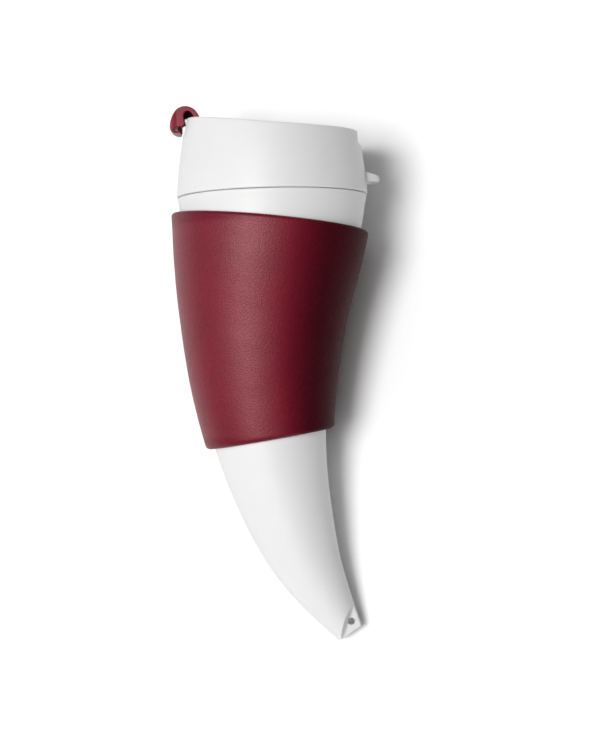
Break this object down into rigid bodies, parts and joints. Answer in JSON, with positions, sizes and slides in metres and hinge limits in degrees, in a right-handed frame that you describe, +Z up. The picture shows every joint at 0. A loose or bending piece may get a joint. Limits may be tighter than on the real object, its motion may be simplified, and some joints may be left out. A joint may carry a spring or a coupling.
{
  "type": "horn-shaped travel mug",
  "caption": "Curved horn-shaped drinking mug with a threaded neck, screw lid with a hinged sip flap that hooks over the rim, and a slip-off leather sleeve.",
  "frame": {"origin": "on the floor under the middle of the mug's footprint, as it lies on its side in its stable pose", "axes": "+Y towards the mouth, the tip towards -Y; +Z up off the floor, 13 degrees off square to the plane in which the horn curves; +X towards the inside of the horn's curve and the lid's eyelet lug"},
  "size_m": [0.0888, 0.226, 0.0856],
  "materials": {
    "white_plastic": "smooth satin moulded plastic",
    "maroon_plastic": "satin moulded plastic",
    "clear_silicone": "translucent food-grade silicone",
    "pin_steel": "drawn stainless pin",
    "maroon_leather": "fine pebble grain with a soft sheen",
    "core_board": "moulded plastic board",
    "lining_cloth": "brushed lining cloth"
  },
  "bodies": {
    "horn": {"horn": "white_plastic"},
    "gasket": {"lid_gasket": "clear_silicone"},
    "lid": {"lid": "white_plastic", "hinge_pin": "pin_steel"},
    "flap": {"flap": "maroon_plastic", "sip_plug": "clear_silicone"},
    "sleeve": {"sleeve_leather": "maroon_leather", "sleeve_core": "core_board", "sleeve_lining": "lining_cloth"}
  },
  "joints": [
    {"name": "lid_lift", "type": "slide", "parent": "horn", "child": "gasket", "axis": [0, 0.9856, 0.169], "range_m": [0, 0.03]},
    {"name": "lid_turn", "type": "hinge", "parent": "gasket", "child": "lid", "pos_m": [-0.00102, 0.07457, 0.04401], "axis": [0, 0.9856, 0.169], "range_deg": [0, 900]},
    {"name": "flap_open", "type": "hinge", "parent": "lid", "child": "flap", "pos_m": [0.01264, 0.09815, 0.04495], "axis": [-0.2187, 0.1649, -0.9618], "range_deg": [0, 150]},
    {"name": "sleeve_off", "type": "hinge", "parent": "horn", "child": "sleeve", "pos_m": [0.42833, 0.03958, -0.0596], "axis": [0.2187, -0.1649, 0.9618], "range_deg": [0, 25]}
  ],
  "couplings": [
    {"joint": "lid_turn", "follows": "lid_lift", "rad_per_m": 523.6}
  ]
}
